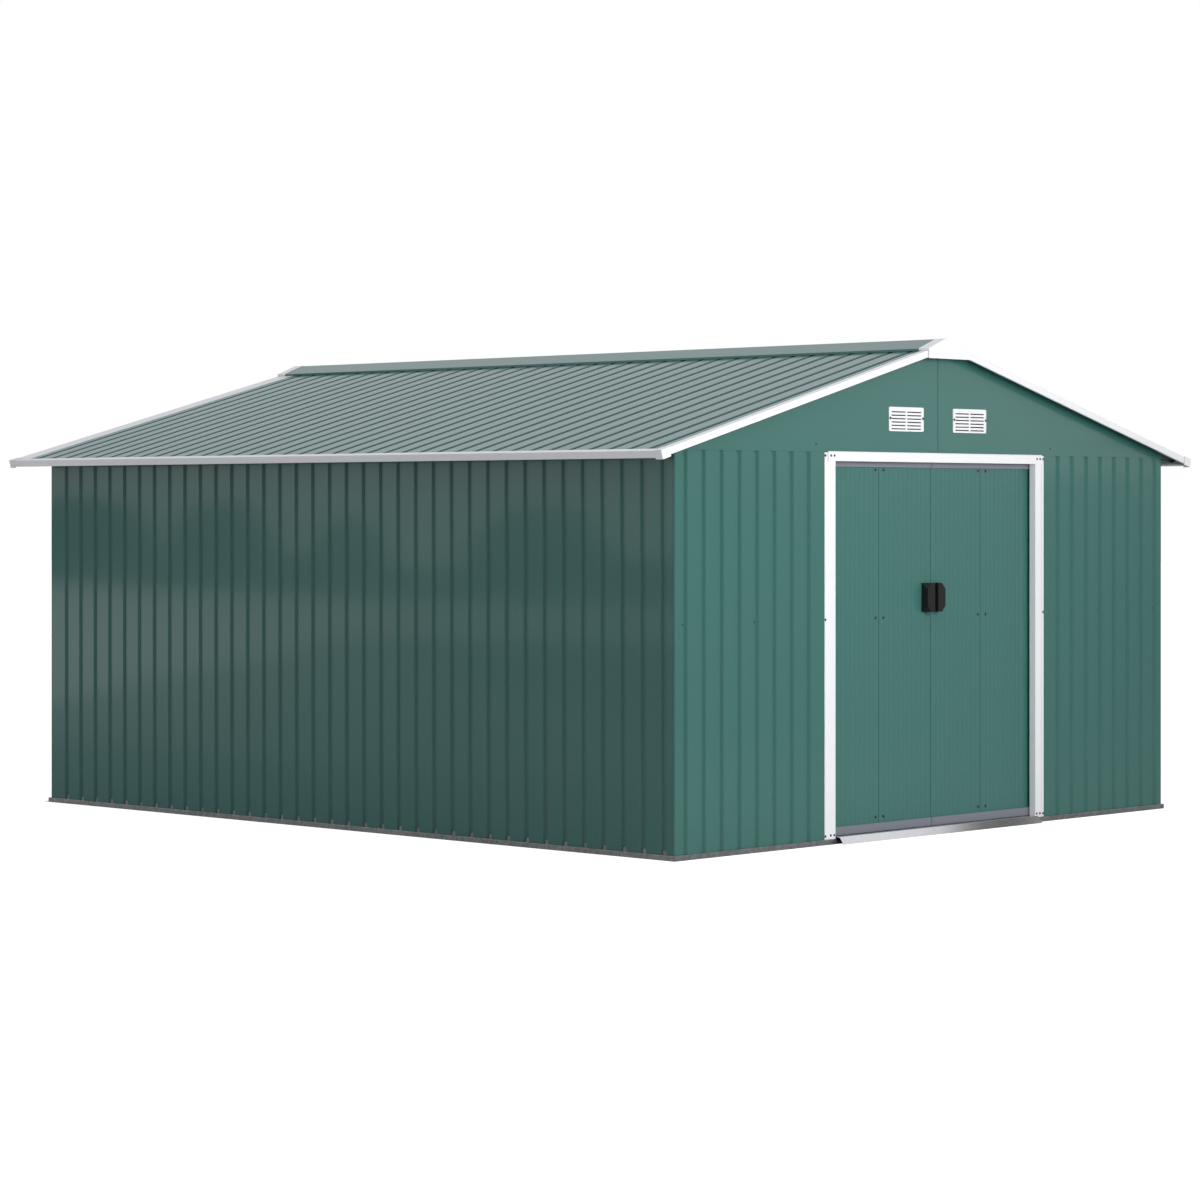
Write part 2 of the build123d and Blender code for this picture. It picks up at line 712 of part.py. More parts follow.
# Header: the same fold over the doorway, lying over the jambs, its ends closed
header_out = frame_proud + trim_sheet + seat_gap
header_face = header_out + trim_sheet
header_cut = frame_proud + trim_sheet + header_clearance
with BuildPart() as door_header:
    with BuildSketch(front_rail_plane.offset(-header_half)):
        add(folded_section([(header_out - header_hook, header_top),
                            (header_face, header_top - header_chamfer),
                            (header_face, header_bottom), (-frame_reach, header_bottom),
                            (-frame_reach, header_bottom + header_hem)], trim_sheet, header_bend, -1))
    extrude(amount=2 * header_half)
    with BuildSketch(Plane.XZ.offset(-front_y + header_cut)):
        for side, inner_side in ((-1, Align.MIN), (1, Align.MAX)):
            with Locations((side * header_half, header_bottom - cut_margin)):
                Rectangle(header_half - doorway_half + seat_gap, header_height, align=(inner_side, Align.MIN))
    extrude(amount=-header_cut - frame_reach - cut_margin, mode=Mode.SUBTRACT)
    for end in (-header_half, header_half - trim_sheet):
        with BuildSketch(front_rail_plane.offset(end)):
            with Locations((header_face, header_bottom)):
                Rectangle(header_end_depth, header_height - header_chamfer, align=(Align.MAX, Align.MIN))
        extrude(amount=trim_sheet)
finish(door_header.part, "door_header")


def hood_section():
    # Section of the small hood over a slot, seen from its end
    slot_top = slot_height / 2
    with BuildSketch() as hood:
        with BuildLine():
            Polyline((vent_plate - hood_sheet, slot_top), (vent_plate, slot_top + hood_rise),
                     (vent_plate + hood_reach, slot_top - hood_drop),
                     (vent_plate + hood_reach - hood_sheet, slot_top - hood_drop), close=True)
        make_face()
    return hood.sketch


def vent_pair(face_y, outward):
    # Two louvred vents on a gable: a rounded plate, two columns of slots and a hood over each slot
    plate_plane = Plane(origin=(0, face_y + outward * seat_gap, vent_level), x_dir=(-outward, 0, 0),
                        z_dir=(0, outward, 0))
    slot_levels = [row * slot_pitch - slot_drop for row in spaced((1 - slot_rows) / 2, 1, slot_rows)]
    with BuildPart() as vents:
        with BuildSketch(plate_plane):
            with Locations((-vent_centre, 0), (vent_centre, 0)):
                RectangleRounded(vent_width, vent_height, vent_corner)
            with Locations((-vent_centre, -slot_drop), (vent_centre, -slot_drop)):
                with GridLocations(slot_width + slot_bar, slot_pitch, 2, slot_rows):
                    Rectangle(slot_width, slot_height, mode=Mode.SUBTRACT)
        extrude(amount=vent_plate)
        for centre in (-vent_centre, vent_centre):
            for column in (-1, 1):
                hood_end = centre + column * (slot_width + slot_bar) / 2 + slot_width / 2
                hood_plane = Plane(origin=plate_plane.from_local_coords((hood_end, 0, 0)),
                                   x_dir=plate_plane.z_dir, z_dir=plate_plane.x_dir * -1)
                with BuildSketch(hood_plane):
                    with Locations(*[(0, level) for level in slot_levels]):
                        add(hood_section())
                extrude(amount=slot_width)
    return vents.part


finish(vent_pair(front_y, -1), "vents_front")
finish(vent_pair(back_y, 1), "vents_back")

# Door leaves. The left one is made and the right one mirrored.
sheet_face = -door_rail_front - door_sheet_setback
door_edge_return = door_rail_depth - trim_sheet - door_sheet_setback - seat_gap
leaf_plane = Plane(origin=(0, front_y, door_bottom), x_dir=(-1, 0, 0), z_dir=(0, 0, 1))


def door_sheet_outline(start, stop):
    # Outline of one finely ribbed door sheet with both edges folded inwards
    count = floor((stop - start - 2 * door_rib_mouth) / door_rib_pitch)
    ribs = spaced((start + stop - (count - 1) * door_rib_pitch) / 2, door_rib_pitch, count)
    return [(along, sheet_face + out) for along, out in
            rib_section(start, stop, ribs, door_edge_return, door_edge_return, door_rib_mouth, door_rib_floor,
                        door_rib_depth)]


sheet_start = door_rail_height - door_sheet_lap
sheet_height = door_top - door_bottom - door_top_rail_height + door_sheet_lap - sheet_start
with BuildPart() as left_door_panels:
    for start, stop in ((meeting_gap, door_seam - door_seam_gap / 2),
                        (door_seam + door_seam_gap / 2, leaf_width)):
        with BuildSketch(leaf_plane.offset(sheet_start)):
            with BuildLine():
                Polyline(*door_sheet_outline(start, stop), close=True)
            make_face()
        extrude(amount=sheet_height)
finish(left_door_panels.part, "left_door_panels")
finish(mirrored(left_door_panels.part), "right_door_panels")

leaf_run_plane = front_rail_plane.offset(meeting_gap)
leaf_run = leaf_width - meeting_gap
rail_back = -door_rail_front - door_rail_depth
with BuildPart() as left_door_bottom_rail:
    with BuildSketch(leaf_run_plane):
        add(folded_section([(-door_rail_front, door_bottom + door_rail_height),
                            (-door_rail_front, door_bottom),
                            (rail_back, door_bottom), (rail_back, door_bottom + door_rail_height)],
                           trim_sheet, trim_bend, -1))
    extrude(amount=leaf_run)
finish(left_door_bottom_rail.part, "left_door_bottom_rail")
finish(mirrored(left_door_bottom_rail.part), "right_door_bottom_rail")

with BuildPart() as left_door_top_rail:
    with BuildSketch(leaf_run_plane):
        add(folded_section([(-door_rail_front, door_top - door_top_rail_height), (-door_rail_front, door_top),
                            (rail_back, door_top), (rail_back, door_top - door_top_rail_height)],
                           trim_sheet, trim_bend))
    extrude(amount=leaf_run)
finish(left_door_top_rail.part, "left_door_top_rail")
finish(mirrored(left_door_top_rail.part), "right_door_top_rail")

# Middle brace: a flat channel across the inside of the leaf, on the folded edges of the sheets
brace_face = sheet_face - door_edge_return - seat_gap
with BuildPart() as left_door_brace:
    with BuildSketch(leaf_run_plane):
        add(folded_section([(brace_face - door_brace_lip, mid_rail_height - door_brace_height / 2),
                            (brace_face, mid_rail_height - door_brace_height / 2),
                            (brace_face, mid_rail_height + door_brace_height / 2),
                            (brace_face - door_brace_lip, mid_rail_height + door_brace_height / 2)],
                           trim_sheet, trim_bend))
    extrude(amount=leaf_run)
finish(left_door_brace.part, "left_door_brace")
finish(mirrored(left_door_brace.part), "right_door_brace")

# Handles: a moulded block on each leaf, its outer front corners cut away to the base
handle_depth = door_rail_front + door_sheet_setback - handle_front - seat_gap
with BuildPart() as left_door_handle:
    with BuildSketch(Plane.XZ.offset(-front_y - handle_front)):
        with Locations((-handle_half_width, handle_centre)):
            Rectangle(handle_half_width - handle_inner, handle_height, align=(Align.MIN, Align.CENTER))
    extrude(amount=-handle_depth)
    for up in (-1, 1):
        corner = Vector(-handle_half_width, front_y + handle_front, handle_centre + up * handle_height / 2)
        cut_a = corner + Vector(handle_corner, 0, 0)
        cut_b = corner - Vector(0, 0, up * handle_corner)
        cut_c = corner + Vector(0, handle_depth, 0)
        outward = (cut_b - cut_a).cross(cut_c - cut_a)
        if outward.X > 0:
            outward = outward * -1
        split(bisect_by=Plane(origin=cut_a, z_dir=outward), keep=Keep.BOTTOM)
    fillet(left_door_handle.faces().sort_by(Axis.Y)[0].edges(), radius=handle_round)
finish(left_door_handle.part, "left_door_handle")
finish(mirrored(left_door_handle.part), "right_door_handle")

# Glides: nylon shoes, two over the top track's lip and two over the bottom guide
shoe_front = leaf_centre - trim_sheet / 2 - shoe_side_gap - shoe_wall
shoe_back = leaf_centre + trim_sheet / 2 + shoe_side_gap + shoe_wall
shoe_centre_places = (shoe_inset, leaf_width - shoe_inset)
slot_half = trim_sheet / 2 + shoe_side_gap
with BuildPart() as left_door_glides:
    for place in shoe_centre_places:
        with BuildSketch(front_rail_plane.offset(place - shoe_length / 2)):
            with BuildLine():
                Polyline((-shoe_front, door_top + seat_gap), (-shoe_front, track_lip_top + shoe_over),
                         (-shoe_back, track_lip_top + shoe_over), (-shoe_back, track_flange + shoe_under),
                         (-leaf_centre - slot_half, track_flange + shoe_under),
                         (-leaf_centre - slot_half, track_lip_top + seat_gap),
                         (-leaf_centre + slot_half, track_lip_top + seat_gap),
                         (-leaf_centre + slot_half, door_top + seat_gap), close=True)
            make_face()
            with BuildLine():
                Polyline((-shoe_front, guide_top - shoe_drop), (-shoe_front, door_bottom - seat_gap),
                         (-shoe_back, door_bottom - seat_gap), (-shoe_back, guide_top - shoe_drop),
                         (-leaf_centre - slot_half, guide_top - shoe_drop),
                         (-leaf_centre - slot_half, guide_top + guide_gap),
                         (-leaf_centre + slot_half, guide_top + guide_gap),
                         (-leaf_centre + slot_half, guide_top - shoe_drop), close=True)
            make_face()
        extrude(amount=shoe_length)
finish(left_door_glides.part, "left_door_glides")
finish(mirrored(left_door_glides.part), "right_door_glides")
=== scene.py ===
# Metal garden shed: coated and galvanized finishes, screws, studio light and the camera.
import json
import math

import bmesh
import bpy
from mathutils import Matrix, Vector


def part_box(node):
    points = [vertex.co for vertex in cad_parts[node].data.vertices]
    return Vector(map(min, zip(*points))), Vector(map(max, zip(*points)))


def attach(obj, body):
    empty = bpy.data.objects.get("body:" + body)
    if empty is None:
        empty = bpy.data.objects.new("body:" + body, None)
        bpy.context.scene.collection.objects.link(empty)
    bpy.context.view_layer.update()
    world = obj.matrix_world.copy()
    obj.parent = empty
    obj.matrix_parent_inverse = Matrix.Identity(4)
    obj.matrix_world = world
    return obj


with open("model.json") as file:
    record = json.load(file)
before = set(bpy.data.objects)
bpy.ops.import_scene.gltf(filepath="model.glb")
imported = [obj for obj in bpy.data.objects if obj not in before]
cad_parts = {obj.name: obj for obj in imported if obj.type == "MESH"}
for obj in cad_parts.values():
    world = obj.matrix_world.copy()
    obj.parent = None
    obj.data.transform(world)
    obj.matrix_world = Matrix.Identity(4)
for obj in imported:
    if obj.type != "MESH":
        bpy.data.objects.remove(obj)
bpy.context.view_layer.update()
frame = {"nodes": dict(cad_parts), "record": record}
nodes = frame["nodes"]
scene = bpy.context.scene
print("frame loaded:", len(nodes), "nodes")

# Faces that the finishes and the screws are placed from
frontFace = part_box("front_wall_left")[0].y
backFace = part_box("back_wall")[1].y
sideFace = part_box("right_wall")[1].x
slopeAngle = math.radians(14.9)


def addNode(tree, kind, inputs=None, **settings):
    node = tree.nodes.new(kind)
    for name, value in settings.items():
        setattr(node, name, value)
    for name, value in (inputs or {}).items():
        if isinstance(value, bpy.types.NodeSocket):
            tree.links.new(value, node.inputs[name])
        else:
            node.inputs[name].default_value = value
    return node


def mathNode(tree, operation, first, second=0.0, third=0.0):
    return addNode(tree, "ShaderNodeMath", {0: first, 1: second, 2: third}, operation=operation).outputs[0]


def mixColor(tree, factor, first, second):
    # sockets 0, 6 and 7 are the mix node's factor and colours
    return addNode(tree, "ShaderNodeMix", {0: factor, 6: first, 7: second}, data_type="RGBA").outputs[2]


def remap(tree, value, low, high, toLow=0.0, toHigh=1.0):
    return addNode(tree, "ShaderNodeMapRange", {"Value": value, "From Min": low, "From Max": high,
                                                "To Min": toLow, "To Max": toHigh}).outputs["Result"]


def newGroup(name, inputs, outputs):
    group = bpy.data.node_groups.new(name, "ShaderNodeTree")
    for label, kind, value in inputs:
        socket = group.interface.new_socket(label, in_out="INPUT", socket_type=kind)
        socket.default_value = value
    for label, kind in outputs:
        group.interface.new_socket(label, in_out="OUTPUT", socket_type=kind)
    return group, group.nodes.new("NodeGroupInput").outputs, group.nodes.new("NodeGroupOutput").inputs


coatDetail = {
    "lineScale": 34,
    "driftScale": 1.1,
    "peelScale": 380,
    "speckScale": 120,
    "grooveFrom": 0.2,
    "grooveDust": 0.35,
    "dustHeight": 0.28,
    "specksFrom": 0.4,
    "specksTo": 0.8,
    "dustColor": (0.36, 0.34, 0.3, 1),
    "roughnessSwing": 0.06,
    "dustRoughness": 0.5,
    "lineRelief": 0.15,
}


def makeRolledCoat():
    # Coil-coated sheet: slow drift of tone, faint lines along the rolling, dust in the grooves and near
    # the ground, painted shade that darkens the groove floors, and a coat that may thin out in the grooves
    group, given, result = newGroup(
        "rolledCoat",
        [("Color", "NodeSocketColor", (0.05, 0.15, 0.12, 1)), ("Along", "NodeSocketVector", (1, 1, 0.03)),
         ("Face Normal", "NodeSocketVector", (0, 1, 0)), ("Face Distance", "NodeSocketFloat", 1.0),
         ("Line Strength", "NodeSocketFloat", 0.1), ("Painted Groove Shade", "NodeSocketFloat", 0.9),
         ("Groove Depth", "NodeSocketFloat", 0.01), ("Dust", "NodeSocketFloat", 0.3),
         ("Roughness", "NodeSocketFloat", 0.35), ("Coat", "NodeSocketFloat", 0.5),
         ("Groove Coat", "NodeSocketFloat", 0.5)],
        [("Color", "NodeSocketColor"), ("Roughness", "NodeSocketFloat"), ("Coat Weight", "NodeSocketFloat"),
         ("Height", "NodeSocketFloat")])
    place = addNode(group, "ShaderNodeNewGeometry").outputs["Position"]
    along = addNode(group, "ShaderNodeVectorMath", {0: place, 1: given["Along"]},
                    operation="MULTIPLY").outputs[0]
    lines = addNode(group, "ShaderNodeTexNoise", {
        "Vector": along, "Scale": coatDetail["lineScale"], "Detail": 6, "Roughness": 0.7})
    drift = addNode(group, "ShaderNodeTexNoise", {
        "Vector": place, "Scale": coatDetail["driftScale"], "Detail": 3})
    peel = addNode(group, "ShaderNodeTexNoise", {
        "Vector": place, "Scale": coatDetail["peelScale"], "Detail": 2})
    specks = addNode(group, "ShaderNodeTexNoise", {
        "Vector": place, "Scale": coatDetail["speckScale"], "Detail": 7, "Roughness": 0.75})
    # how far a point lies below the sheet's outer face, from 0 on the pans to 1 on a groove's floor
    mirroredPlace = addNode(group, "ShaderNodeVectorMath", {0: place}, operation="ABSOLUTE").outputs[0]
    reach = addNode(group, "ShaderNodeVectorMath", {0: mirroredPlace, 1: given["Face Normal"]},
                    operation="DOT_PRODUCT").outputs["Value"]
    below = mathNode(group, "SUBTRACT", given["Face Distance"], reach)
    depthShare = mathNode(group, "DIVIDE", below, given["Groove Depth"])
    groove = remap(group, depthShare, coatDetail["grooveFrom"], 1.0)
    swing = mathNode(group, "ADD", lines.outputs["Fac"], drift.outputs["Fac"])
    swing = mathNode(group, "SUBTRACT", swing, 1.0)
    tone = mathNode(group, "MULTIPLY_ADD", swing, given["Line Strength"], 1.0)
    # painted shade: the colour is scaled down towards the groove floors by the groove factor each sheet is
    # given
    paintedShadeStep = mathNode(group, "SUBTRACT", given["Painted Groove Shade"], 1.0)
    tone = mathNode(group, "MULTIPLY", tone, mathNode(group, "MULTIPLY_ADD", groove, paintedShadeStep, 1.0))
    coated = addNode(group, "ShaderNodeVectorMath", {0: given["Color"], 3: tone},
                     operation="SCALE").outputs[0]
    height = addNode(group, "ShaderNodeSeparateXYZ", {"Vector": place}).outputs["Z"]
    nearGround = remap(group, height, coatDetail["dustHeight"], 0.0)
    gathers = mathNode(group, "MULTIPLY_ADD", groove, coatDetail["grooveDust"], nearGround)
    speckled = remap(group, specks.outputs["Fac"], coatDetail["specksFrom"], coatDetail["specksTo"])
    film = mathNode(group, "MULTIPLY", gathers, speckled)
    film = mathNode(group, "MULTIPLY", film, given["Dust"])
    group.links.new(mixColor(group, film, coated, coatDetail["dustColor"]), result["Color"])
    rough = mathNode(group, "MULTIPLY_ADD", swing, coatDetail["roughnessSwing"], given["Roughness"])
    rough = mathNode(group, "MULTIPLY_ADD", film, coatDetail["dustRoughness"], rough)
    group.links.new(rough, result["Roughness"])
    coatStep = mathNode(group, "SUBTRACT", given["Groove Coat"], given["Coat"])
    coatFade = mathNode(group, "MULTIPLY", groove, coatStep)
    group.links.new(mathNode(group, "ADD", given["Coat"], coatFade), result["Coat Weight"])
    relief = mathNode(group, "MULTIPLY_ADD", lines.outputs["Fac"], coatDetail["lineRelief"],
                      peel.outputs["Fac"])
    group.links.new(relief, result["Height"])
    return group


zincDetail = {"brushScale": 60, "stainScale": 6, "crystalShare": 0.35, "stainShare": 0.45,
              "crystalRelief": 0.3}


def makeZincSkin():
    # Hot-dip zinc: crystals of differing grey, brush lines and wide stains
    group, given, result = newGroup(
        "zincSkin",
        [("Dark", "NodeSocketColor", (0.2, 0.2, 0.21, 1)), ("Light", "NodeSocketColor", (0.6, 0.6, 0.61, 1)),
         ("Crystal Size", "NodeSocketFloat", 0.02), ("Brush Direction", "NodeSocketVector", (1, 1, 1)),
         ("Brush Strength", "NodeSocketFloat", 0.2), ("Roughness", "NodeSocketFloat", 0.4),
         ("Roughness Swing", "NodeSocketFloat", 0.25)],
        [("Color", "NodeSocketColor"), ("Roughness", "NodeSocketFloat"), ("Height", "NodeSocketFloat")])
    place = addNode(group, "ShaderNodeNewGeometry").outputs["Position"]
    fineness = mathNode(group, "DIVIDE", 1.0, given["Crystal Size"])
    crystals = addNode(group, "ShaderNodeTexVoronoi", {"Vector": place, "Scale": fineness})
    crystal = addNode(group, "ShaderNodeSeparateColor", {"Color": crystals.outputs["Color"]}).outputs["Red"]
    brushed = addNode(group, "ShaderNodeVectorMath", {0: place, 1: given["Brush Direction"]},
                      operation="MULTIPLY").outputs[0]
    brush = addNode(group, "ShaderNodeTexNoise", {
        "Vector": brushed, "Scale": zincDetail["brushScale"], "Detail": 6, "Roughness": 0.7})
    stains = addNode(group, "ShaderNodeTexNoise", {
        "Vector": place, "Scale": zincDetail["stainScale"], "Detail": 6, "Roughness": 0.65})
    mixed = mathNode(group, "MULTIPLY_ADD", brush.outputs["Fac"], given["Brush Strength"],
                     mathNode(group, "MULTIPLY", crystal, zincDetail["crystalShare"]))
    mixed = mathNode(group, "MULTIPLY_ADD", stains.outputs["Fac"], zincDetail["stainShare"], mixed)
    group.links.new(mixColor(group, mixed, given["Dark"], given["Light"]), result["Color"])
    swing = mathNode(group, "SUBTRACT", 0.5, mixed)
    rough = mathNode(group, "MULTIPLY_ADD", swing, given["Roughness Swing"], given["Roughness"])
    group.links.new(rough, result["Roughness"])
    relief = mathNode(group, "MULTIPLY_ADD", crystal, zincDetail["crystalRelief"], brush.outputs["Fac"])
    group.links.new(relief, result["Height"])
    return group


rolledCoat = makeRolledCoat()
zincSkin = makeZincSkin()


def finishedMaterial(name, group, values, bump, shaderValues):
    # One shader fed by an effect group. The effect's coat is linked only where the shader is given none.
    material = bpy.data.materials.new(name)
    material.use_nodes = True
    tree = material.node_tree
    tree.nodes.clear()
    output = addNode(tree, "ShaderNodeOutputMaterial")
    shader = addNode(tree, "ShaderNodeBsdfPrincipled", shaderValues)
    effect = addNode(tree, "ShaderNodeGroup", node_tree=group)
    for label, value in values.items():
        effect.inputs[label].default_value = value
    relief = addNode(tree, "ShaderNodeBump", {"Strength": bump["strength"], "Distance": bump["distance"],
                                              "Height": effect.outputs["Height"]})
    tree.links.new(effect.outputs["Color"], shader.inputs["Base Color"])
    tree.links.new(effect.outputs["Roughness"], shader.inputs["Roughness"])
    tree.links.new(relief.outputs["Normal"], shader.inputs["Normal"])
    if "Coat Weight" in effect.outputs and "Coat Weight" not in shaderValues:
        tree.links.new(effect.outputs["Coat Weight"], shader.inputs["Coat Weight"])
    tree.links.new(shader.outputs["BSDF"], output.inputs["Surface"])
    return material


greens = {
    "wallColor": (0.046, 0.160, 0.138, 1),
    "doorColor": (0.050, 0.174, 0.150, 1),
    "roofColor": (0.046, 0.168, 0.140, 1),
    "wallRoughness": 0.30,
    "roofRoughness": 0.34,
    "lineStrength": 0.03,
    # groove factors below 1 are painted shade that darkens the colour in the grooves; the roof's is by far the
    # darkest
    "wallPaintedGrooveShade": 1.0,
    "sidePaintedGrooveShade": 0.98,
    "roofPaintedGrooveShade": 0.12,
    "doorPaintedGrooveShade": 0.93,
    "ribDepth": 0.010,
    "roofLip": 0.005,
    "doorRibDepth": 0.0008,
    "dust": 0.06,
    "coat": 0.5,
}
sheetBump = {"strength": 0.05, "distance": 0.0006}
coatGloss = {"IOR": 1.5, "Specular IOR Level": 0.3, "Coat Roughness": 0.11}
# the rolling lines run along the axes with a small share
upright = (1, 1, 0.02)
downSlope = (0.02, 1, 0.02)
slopeNormal = (math.sin(slopeAngle), 0, math.cos(slopeAngle))
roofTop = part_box("left_roof")[1]
panDistance = abs(roofTop.x) * slopeNormal[0] + roofTop.z * slopeNormal[2]


def coatedSheet(name, color, roughness, along, faceNormal, faceDistance, paintedGrooveShade, ribDepth,
                grooveCoat=None):
    # the coat stays even, or thins out in the grooves where grooveCoat is given
    gloss = dict(coatGloss)
    if grooveCoat is None:
        gloss["Coat Weight"] = grooveCoat = greens["coat"]
    return finishedMaterial(name, rolledCoat, {
        "Color": color, "Along": along, "Face Normal": faceNormal, "Face Distance": faceDistance,
        "Line Strength": greens["lineStrength"], "Painted Groove Shade": paintedGrooveShade, "Groove Depth": ribDepth,
        "Dust": greens["dust"], "Roughness": roughness, "Coat": greens["coat"], "Groove Coat": grooveCoat,
    }, sheetBump, gloss)


frontGreen = coatedSheet("coatedGreenFront", greens["wallColor"], greens["wallRoughness"], upright,
                         (0, 1, 0), -frontFace, greens["wallPaintedGrooveShade"], greens["ribDepth"])
backGreen = coatedSheet("coatedGreenBack", greens["wallColor"], greens["wallRoughness"], upright,
                        (0, 1, 0), backFace, greens["wallPaintedGrooveShade"], greens["ribDepth"])
sideGreen = coatedSheet("coatedGreenSide", greens["wallColor"], greens["wallRoughness"], upright,
                        (1, 0, 0), sideFace, greens["sidePaintedGrooveShade"], greens["ribDepth"])
roofGreen = coatedSheet("coatedGreenRoof", greens["roofColor"], greens["roofRoughness"], downSlope,
                        slopeNormal, panDistance, greens["roofPaintedGrooveShade"], greens["roofLip"], 0.0)
ridgeGreen = coatedSheet("coatedGreenRidge", greens["roofColor"], greens["roofRoughness"], (1, 0.02, 1),
                         (0, 0, 1), 0.0, 1.0, greens["ribDepth"])
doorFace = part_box("left_door_panels")[0].y
doorGreen = coatedSheet("coatedGreenDoor", greens["doorColor"], greens["wallRoughness"], upright,
                        (0, 1, 0), -doorFace, greens["doorPaintedGrooveShade"], greens["doorRibDepth"])

trim = {"color": (0.93, 0.93, 0.94, 1), "roughness": 0.34, "lineStrength": 0.02, "dust": 0.03}
trimWhite = finishedMaterial("coatedTrimWhite", rolledCoat, {
    "Color": trim["color"], "Along": (1, 1, 1), "Face Normal": (0, 0, 1), "Face Distance": 0.0,
    "Line Strength": trim["lineStrength"], "Painted Groove Shade": 1.0, "Dust": trim["dust"],
    "Roughness": trim["roughness"],
}, sheetBump, {"IOR": 1.5, "Coat Weight": 0.5, "Coat Roughness": 0.1})

doorRail = {"color": (0.22, 0.23, 0.27, 1), "roughness": 0.36}
railGrey = finishedMaterial("coatedRailGrey", rolledCoat, {
    "Color": doorRail["color"], "Along": (0.02, 1, 1), "Face Normal": (0, 0, 1), "Face Distance": 0.0,
    "Line Strength": 0.1, "Painted Groove Shade": 1.0, "Dust": 0.1, "Roughness": doorRail["roughness"],
}, sheetBump, {"IOR": 1.5, "Coat Weight": 0.2, "Coat Roughness": 0.2})

zinc = {"dark": (0.14, 0.14, 0.14, 1), "light": (0.48, 0.48, 0.48, 1), "crystal": 0.012, "roughness": 0.38}
galvanized = finishedMaterial("galvanizedRail", zincSkin, {
    "Dark": zinc["dark"], "Light": zinc["light"], "Crystal Size": zinc["crystal"],
    "Brush Direction": (1, 1, 1), "Brush Strength": 0.25, "Roughness": zinc["roughness"],
}, {"strength": 0.1, "distance": 0.0003}, {"Metallic": 0.85})

sill = {"dark": (0.72, 0.72, 0.71, 1), "light": (0.79, 0.79, 0.78, 1), "crystal": 0.03, "roughness": 0.17,
        "roughnessSwing": 0.03}
sillBright = finishedMaterial("galvanizedSill", zincSkin, {
    "Dark": sill["dark"], "Light": sill["light"], "Crystal Size": sill["crystal"],
    "Brush Direction": (0.02, 1, 1), "Brush Strength": 0.2, "Roughness": sill["roughness"],
    "Roughness Swing": sill["roughnessSwing"],
}, {"strength": 0.01, "distance": 0.0001}, {"Metallic": 1.0})

screwFinish = {"dark": (0.03, 0.03, 0.03, 1), "light": (0.16, 0.16, 0.165, 1), "roughness": 0.4}
screwSteel = finishedMaterial("screwSteel", zincSkin, {
    "Dark": screwFinish["dark"], "Light": screwFinish["light"], "Crystal Size": 0.004,
    "Brush Direction": (1, 1, 1), "Brush Strength": 0.2, "Roughness": screwFinish["roughness"],
}, {"strength": 0.05, "distance": 0.0001}, {"Metallic": 0.7})


mouldedDetail = {"handledScale": 30, "toneSwing": 0.5, "toneBase": 0.75, "roughnessSwing": 0.2,
                 "roughnessDrop": 0.1}


def makeMouldedPlastic():
    # Fine spark-eroded grain with a little sheen variation
    group, given, result = newGroup(
        "mouldedGrain",
        [("Color", "NodeSocketColor", (0.02, 0.02, 0.02, 1)), ("Grain", "NodeSocketFloat", 900.0),
         ("Roughness", "NodeSocketFloat", 0.45)],
        [("Color", "NodeSocketColor"), ("Roughness", "NodeSocketFloat"), ("Height", "NodeSocketFloat")])
    place = addNode(group, "ShaderNodeNewGeometry").outputs["Position"]
    grain = addNode(group, "ShaderNodeTexNoise", {"Vector": place, "Scale": given["Grain"], "Detail": 4})
    handled = addNode(group, "ShaderNodeTexNoise", {
        "Vector": place, "Scale": mouldedDetail["handledScale"], "Detail": 4}).outputs["Fac"]
    tone = mathNode(group, "MULTIPLY_ADD", handled, mouldedDetail["toneSwing"], mouldedDetail["toneBase"])
    toned = addNode(group, "ShaderNodeVectorMath", {0: given["Color"], 3: tone},
                    operation="SCALE").outputs[0]
    group.links.new(toned, result["Color"])
    rough = mathNode(group, "MULTIPLY_ADD", handled, mouldedDetail["roughnessSwing"], given["Roughness"])
    group.links.new(mathNode(group, "SUBTRACT", rough, mouldedDetail["roughnessDrop"]), result["Roughness"])
    group.links.new(grain.outputs["Fac"], result["Height"])
    return group


mouldedGrain = makeMouldedPlastic()
handleBlack = finishedMaterial("mouldedBlack", mouldedGrain, {
    "Color": (0.012, 0.012, 0.012, 1), "Grain": 900.0, "Roughness": 0.45,
}, {"strength": 0.35, "distance": 0.0003}, {"IOR": 1.46, "Specular IOR Level": 0.35})
glideNylon = finishedMaterial("mouldedNylon", mouldedGrain, {
    "Color": (0.10, 0.10, 0.105, 1), "Grain": 500.0, "Roughness": 0.4,
}, {"strength": 0.2, "distance": 0.0003}, {"IOR": 1.53})

finishOfNode = {
    "left_wall": sideGreen, "right_wall": sideGreen, "back_wall": backGreen, "back_gable": backGreen,
    "front_wall_left": frontGreen, "front_wall_right": frontGreen, "front_gable": frontGreen,
    "left_roof": roofGreen, "right_roof": roofGreen, "ridge_cap": ridgeGreen,
    "door_sill": sillBright,
}
finishOfSlot = {
    "trim_white": trimWhite, "door_green": doorGreen, "door_rail_grey": railGrey, "handle_black": handleBlack,
    "glide_nylon": glideNylon, "galvanized": galvanized,
}
slotOfNode = {entry["node"]: entry["material_slot"] for entry in frame["record"]["subparts"]}
for name, node in nodes.items():
    finish = finishOfNode.get(name) or finishOfSlot[slotOfNode[name]]
    node.data.materials.clear()
    node.data.materials.append(finish)
print("finishes on every node")


screwSides = {"washer": 24, "head": 6}
# The head above its foot, from the shoulder to the small flat on top: shares of its radius and height
headRings = ((1.0, 0.8), (0.8, 1.0), (0.35, 1.05))


def ringOfPoints(bm, stand, radius, height, sides):
    step = 2 * math.pi / sides
    return [bm.verts.new(stand @ Vector((radius * math.cos(step * i), radius * math.sin(step * i), height)))
            for i in range(sides)]


def wallBetween(bm, lower, upper):
    for i in range(len(lower)):
        j = (i + 1) % len(lower)
        bm.faces.new((lower[i], lower[j], upper[j], upper[i]))


